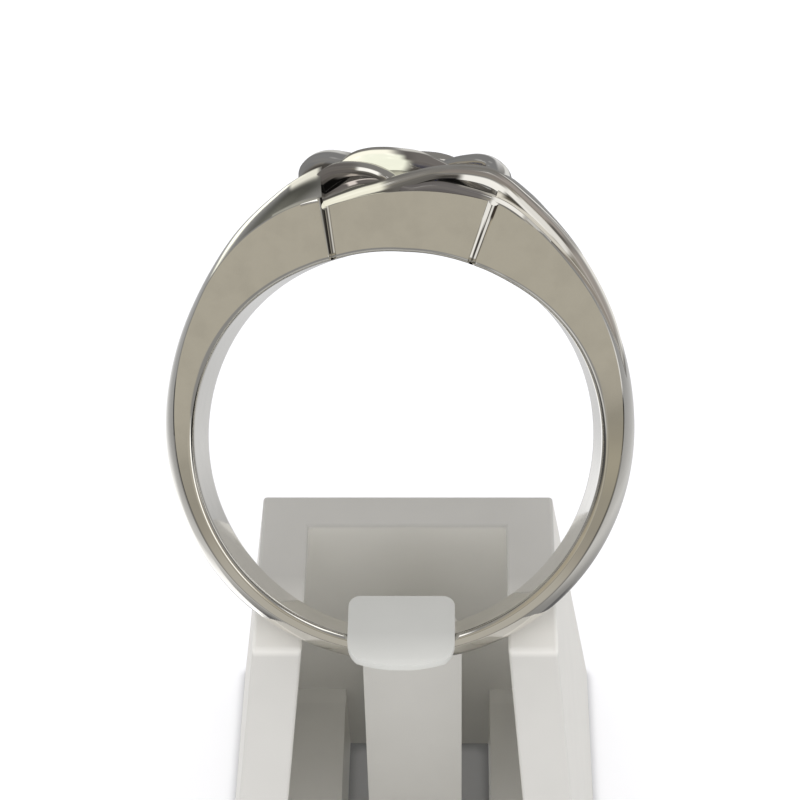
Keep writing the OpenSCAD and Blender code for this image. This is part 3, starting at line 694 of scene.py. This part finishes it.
# The wires are bent too tightly to mirror the tent's panels whole, so what each of them mirrors
# is painted along it: painted reflections of the white tray and the panels, and painted shade in
# the gaps where a wire lies close under or over its neighbours.
PAINTED_GLINTS = {
    # turn, its half length and softness, degrees round the oval from the near side over the
    # outside, their half length and softness, level of light, colour
    "strand_over": [
        (-12.0, 8.5, 3.0, 12, 30, 14, 1.18, "#fffff2"),
        (-12.0, 7.5, 3.0, 322, 14, 12, 0.22, "#eceee4"),
        (-10.0, 6.0, 4.0, 70, 22, 14, 0.14, "#e8eae0"),
        (2.0, 5.0, 3.0, 320, 40, 20, 0.19, "#f0ece8"),
        (2.5, 5.0, 4.0, 15, 16, 14, 0.29, "#f0ece8"),
        (11.0, 8.0, 2.5, 282, 14, 8, 0.006, "#ffffff"),
        (15.0, 7.0, 3.0, 6, 14, 12, 0.30, "#f8eeea"),
        (16.8, 5.2, 2.0, 308, 34, 12, 1.25, "#ffffff"),
        (20.0, 9.0, 3.0, 42, 7, 8, 0.25, "#f0ece8"),
        (28.0, 7.0, 3.0, 340, 14, 8, 1.15, "#ffffff"),
        (28.0, 9.0, 4.0, 24, 12, 10, 0.45, "#f8eeea"),
        (32.0, 8.0, 3.0, 352, 12, 8, 1.00, "#ffffff"),
        (37.0, 5.0, 3.0, 14, 7, 8, 0.14, "#f0ece8"),
        (53.0, 13.0, 6.0, 66, 24, 14, 1.05, "#ffffff"),
        (50.0, 11.0, 6.0, 14, 18, 14, 0.45, "#f6eeea"),
    ],
    "strand_under": [
        (-12.0, 7.0, 3.0, 272, 18, 10, 0.004, "#ffffff"),
        (-16.5, 4.5, 3.0, 294, 24, 8, 0.004, "#ffffff"),
        (-13.0, 5.0, 3.0, 15, 40, 16, 0.17, "#f4ecec"),
        (-5.6, 2.1, 1.2, 7, 15, 10, 1.35, "#ffffff"),
        (9.0, 9.0, 3.0, 0, 50, 20, 0.19, "#f2ecf0"),
        (11.0, 8.0, 2.5, 72, 16, 10, 0.01, "#ffffff"),
        (20.8, 1.2, 1.0, 345, 26, 12, 1.15, "#ffffff"),
    ],
    "strand_crossing": [
        (-8.6, 5.4, 2.5, 2, 42, 12, 1.40, "#fffff4"),
        (-4.4, 4.0, 2.5, 330, 48, 16, 1.30, "#fbfff2"),
        (-8.0, 6.0, 3.0, 72, 8, 8, 0.24, "#eceee4"),
        (1.2, 3.0, 2.0, 20, 24, 14, 0.14, "#f4ecec"),
        (0.5, 3.0, 3.0, 62, 16, 12, 0.80, "#ffffff"),
        (4.0, 4.0, 3.0, 10, 30, 14, 0.20, "#f4ecec"),
        (12.0, 5.0, 3.0, 300, 50, 20, 0.005, "#ffffff"),
        (-15.0, 3.0, 2.0, 292, 30, 12, 0.004, "#ffffff"),
    ],
    "strand_loop": [
        (-15.0, 7.0, 4.0, 20, 40, 20, 0.28, "#eef0f6"),
        (-17.0, 6.0, 4.0, 72, 16, 14, 0.85, "#f6f8fa"),
        (-15.0, 7.0, 4.0, 145, 30, 14, 0.28, "#eef0f6"),
        (-15.5, 4.0, 3.0, 103, 14, 14, 0.90, "#f8faff"),
    ],
    "strand_inner": [
        (-8.0, 8.0, 4.0, 60, 50, 20, 0.20, "#f0e8e8"),
        (-9.0, 3.0, 2.0, 75, 20, 10, 0.90, "#fff6f4"),
        (-11.2, 0.9, 0.8, 45, 26, 12, 1.00, "#fff6f4"),
    ],
    "strand_rim": [
        (23.5, 4.0, 2.0, 22, 34, 12, 1.15, "#ffffff"),
        (30.5, 3.0, 2.0, 30, 24, 12, 0.70, "#ffffff"),
        (23.5, 4.0, 2.0, 330, 16, 10, 0.14, "#ffffff"),
    ],
}
# Between those patches a wire gets a painted reflection of the room's even grey, over part of its
# mirror
PAINTED_CALM_GREY = times(linear("#f2ece8"), 0.2)
PAINTED_CALM_PART = 0.4

for name, rows in STRANDS.items():
    wire_name = f"polished white gold wire, {name.removeprefix('strand_')}"
    wire, tree, metal = gold_material(wire_name, WIRE_ROUGHNESS)
    add_painted_glints(tree, metal, PAINTED_CALM_GREY, PAINTED_CALM_PART, PAINTED_GLINTS[name])
    for half_name, half_round in (("near", 1), ("far", -1)):
        points, marks = strand_skin(rows, half_round)
        strand = skin(f"{name}_{half_name}", points, False, True, marks)
        strand.data.materials.append(wire)
        strand.data.set_sharp_from_angle(angle=STRAND_EDGE_ANGLE)
        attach(strand, "root")
        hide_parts("band")


# The stone collars
# Short tubes of white gold soldered upright on the bridge. Each has a bevelled lip rubbed over
# the stone's edge, and a cone inside that the stone sits in.

STONE_D = 1.8
STONE_TURN = 9.5
STONE_OFFSET = 2.1
GIRDLE_R = 10.62
STONE_GAP = 0.03
COLLAR_WALL = 0.2
COLLAR_SIDES = 48
COLLAR_EDGE_ANGLE = np.radians(40)
COLLAR_ROUGHNESS = 0.06
COLLAR_FOOT_R = 9.98
COLLAR_TOP_R = 10.734
LIP_FOOT_R = 10.71
SEAT_TIP_R = 10.02
TIP = 0.02

collar_out = STONE_D / 2 + COLLAR_WALL
collar_in = STONE_D / 2 + STONE_GAP
collar_profile = np.array(
    [
        # distance from the collar's axis, height above the finger hole's axis
        (TIP, COLLAR_FOOT_R),
        (collar_out, COLLAR_FOOT_R),
        (collar_out, LIP_FOOT_R - 0.05),
        (collar_out - 0.02, LIP_FOOT_R),
        (collar_out - 0.07, COLLAR_TOP_R),
        (collar_in + 0.03, COLLAR_TOP_R),
        (collar_in, LIP_FOOT_R),
        (collar_in, GIRDLE_R - STONE_GAP),
        (TIP, SEAT_TIP_R),
    ]
)
collar_gold, tree, metal = gold_material("polished white gold, collars", COLLAR_ROUGHNESS)
add_node(tree, "ShaderNodeOutputMaterial", Surface=metal)

for step, name in ((1, "near"), (0, "middle"), (-1, "far")):
    b = np.linspace(0, 2 * np.pi, COLLAR_SIDES, endpoint=False)[None, :]
    out, up = collar_profile[:, :1], collar_profile[:, 1:]
    a = np.radians(step * STONE_TURN)
    x = out * np.sin(b) * np.cos(a) + up * np.sin(a)
    y = out * np.cos(b) - step * STONE_OFFSET
    z = up * np.cos(a) - out * np.sin(b) * np.sin(a)
    places = in_clip(np.degrees(np.arctan2(x, z)) + WEAVE_TURN, np.hypot(x, z), y)
    collar = skin(f"collar_{name}", places, False, True)
    collar.data.materials.append(collar_gold)
    collar.data.set_sharp_from_angle(angle=COLLAR_EDGE_ANGLE)
    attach(collar, "root")
    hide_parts("band")


# The sapphires
# Small blue corundum stones cut as round brilliants, held in the collars. Corundum bends light
# strongly and takes a flat, hard polish, so each facet is either bright or nearly black.

sapphire = bpy.data.materials.new("cut blue sapphire")
sapphire.use_nodes = True
tree = sapphire.node_tree
tree.nodes.clear()
gem = add_node(
    tree,
    "ShaderNodeBsdfPrincipled",
    Base_Color=linear("#2440b8"),
    Roughness=0.02,
    IOR=1.77,
    Transmission_Weight=0.85,
)
add_node(tree, "ShaderNodeOutputMaterial", Surface=gem)
for name in ("sapphire_near", "sapphire_middle", "sapphire_far"):
    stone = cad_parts[name]
    stone.data.materials.clear()
    stone.data.materials.append(sapphire)


# The stand
# One block of white styrene plastic from a mould, with a slanted front, a well and a springy
# clip tongue that is folded over at its top. The mould leaves its edges slightly round.

BLOCK_ROUND = 0.16
CLIP_ROUND = 0.12
# The clip and the slot that it stands in take up this part of the block, in mm
CLIP_MIDDLE = 0.245
CLIP_HALF = 4.2
CLIP_FOOT = 4.0
HEAD_FOOT = 20.1
# Only edges that meet no shorter edge than this are rounded as the block's are
LEAST_EDGE = 1.0
SAME_POINT = 0.002
FLAT_ANGLE = np.radians(1.0)
EDGE_ANGLE = np.radians(28)

block = bmesh.new()
block.from_mesh(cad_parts["stand"].data)
bmesh.ops.remove_doubles(block, verts=block.verts, dist=SAME_POINT * MM)
bmesh.ops.dissolve_limit(block, angle_limit=FLAT_ANGLE, verts=block.verts, edges=block.edges)
weights = block.edges.layers.float.new("bevel_weight_edge")
for edge in block.edges:
    ends = [vert.co / MM for vert in edge.verts]
    on_clip = any(abs(end.x - CLIP_MIDDLE) < CLIP_HALF and end.z > CLIP_FOOT for end in ends)
    on_head = any(end.z > HEAD_FOOT for end in ends)
    shortest = min(link.calc_length() for vert in edge.verts for link in vert.link_edges)
    edge[weights] = 0.0 if on_clip or on_head or shortest < LEAST_EDGE * MM else 1.0
mesh = bpy.data.meshes.new("moulded_stand")
block.to_mesh(mesh)
block.free()
stand = bpy.data.objects.new("moulded_stand", mesh)
bpy.context.scene.collection.objects.link(stand)
for name, limit, width, segments in (
    ("block edges", "WEIGHT", BLOCK_ROUND, 4),
    ("clip edges", "ANGLE", CLIP_ROUND, 3),
):
    soften = stand.modifiers.new(name, "BEVEL")
    soften.width = width * MM
    soften.segments = segments
    soften.limit_method = limit
    soften.angle_limit = EDGE_ANGLE
    soften.harden_normals = True

BLOCK_WHITE = linear("#e8e6de")
HEAD_WHITE = linear("#d6d6cf")
GRAIN_WIDTH = 0.25
SINK_WIDTH = 2.5
# Heights and places from front to back, in mm, over which the painted light and shade on the
# plastic change
HEAD_EDGE = (20.7, 21.1)
HEAD_BEND = (-0.2, 1.4)
TOP_EDGE = (19.75, 19.9)
RING_SHADOW_SPAN = (3.0, 6.0)
WELL_HEIGHT = (6.0, 20.0)
# The inner face of the wall behind the well, in mm, which gets a painted glow
WELL_BACK_MIDDLE = (0.0, 8.95, 10.0)
WELL_BACK_HALF = (6.4, 0.6, 9.9)
WELL_BACK_SOFT = (0.1, 0.1, 0.1)

# Styrene from a mould has a fine dull skin, so it shows soft shade and no clear gloss. It is
# faintly uneven where it sank as it cooled. Its colour also carries painted light and shade: the
# head darker towards its bend, a painted shadow of the ring on the rear of the top, sides painted
# lighter than the front, and a painted glow inside the well's rear wall for light through its thin
# walls. The head has a greyer, cooler white than the block.
styrene = bpy.data.materials.new("moulded white styrene")
styrene.use_nodes = True
tree = styrene.node_tree
tree.nodes.clear()
place = add_node(tree, "ShaderNodeTexCoord").outputs["Object"]
grain = add_node(
    tree, "ShaderNodeTexNoise", Vector=place, Scale=1 / (GRAIN_WIDTH * MM), Detail=3.0
)
sink = add_node(
    tree, "ShaderNodeTexNoise", Vector=place, Scale=1 / (SINK_WIDTH * MM), Detail=2.0
)
place = add_node(tree, "ShaderNodeVectorMath", {"operation": "SCALE"}, n0=place, Scale=1 / MM)
place = add_node(tree, "ShaderNodeSeparateXYZ", Vector=place).outputs
facing = add_node(tree, "ShaderNodeNewGeometry").outputs["Normal"]
facing = add_node(tree, "ShaderNodeSeparateXYZ", Vector=facing).outputs
sideways = add_node(tree, "ShaderNodeMath", {"operation": "ABSOLUTE"}, n0=facing["X"])
on_head, painted_head_shade, on_top, painted_ring_shadow, painted_side_light, uneven, through = (
    add_node(
        tree,
        "ShaderNodeMapRange",
        Value=value,
        From_Min=start,
        From_Max=end,
        To_Min=start_level,
        To_Max=end_level,
    )
    for value, (start, end), start_level, end_level in (
        (place["Z"], HEAD_EDGE, 0.0, 1.0),
        # Painted shade: the head darker towards its bend
        (place["Y"], HEAD_BEND, 0.98, 0.76),
        (place["Z"], TOP_EDGE, 0.0, 1.0),
        # Painted shadow of the ring on the rear of the top
        (place["Y"], RING_SHADOW_SPAN, 1.0, 0.64),
        # Painted light: the sides lighter than the front
        (sideways, (0.85, 0.95), 0.77, 0.89),
        (sink, (0.3, 0.7), 0.97, 1.0),
        # Painted glow for light through the thin wall, stronger near its top
        (place["Z"], WELL_HEIGHT, 0.02, 0.14),
    )
)
mix = {"data_type": "FLOAT"}
shade = add_node(tree, "ShaderNodeMix", mix, n0=on_top, n2=painted_side_light, n3=painted_ring_shadow)
shade = add_node(tree, "ShaderNodeMix", mix, n0=on_head, n2=shade, n3=painted_head_shade)
shade = add_node(tree, "ShaderNodeMath", {"operation": "MULTIPLY"}, n0=shade, n1=uneven)
mix = {"data_type": "RGBA"}
white = add_node(tree, "ShaderNodeMix", mix, n0=on_head, n6=BLOCK_WHITE, n7=HEAD_WHITE)
toned = add_node(tree, "ShaderNodeMix", mix, n0=shade, n6=BLACK, n7=white)
# The painted glow is laid only on the inner face of the wall behind the well
in_well = patch_mask(
    tree, (place["X"], place["Y"], place["Z"]), WELL_BACK_MIDDLE, WELL_BACK_HALF, WELL_BACK_SOFT
)
through = add_node(tree, "ShaderNodeMath", {"operation": "MULTIPLY"}, n0=through, n1=in_well)
bump = add_node(tree, "ShaderNodeBump", Height=grain, Strength=0.25, Distance=0.01 * MM)
plastic = add_node(
    tree,
    "ShaderNodeBsdfPrincipled",
    Base_Color=toned,
    Roughness=0.55,
    Normal=bump,
    Emission_Color=white,
    Emission_Strength=through,
)
add_node(tree, "ShaderNodeOutputMaterial", Surface=plastic)
mesh.materials.clear()
mesh.materials.append(styrene)
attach(stand, "root")
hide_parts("stand")
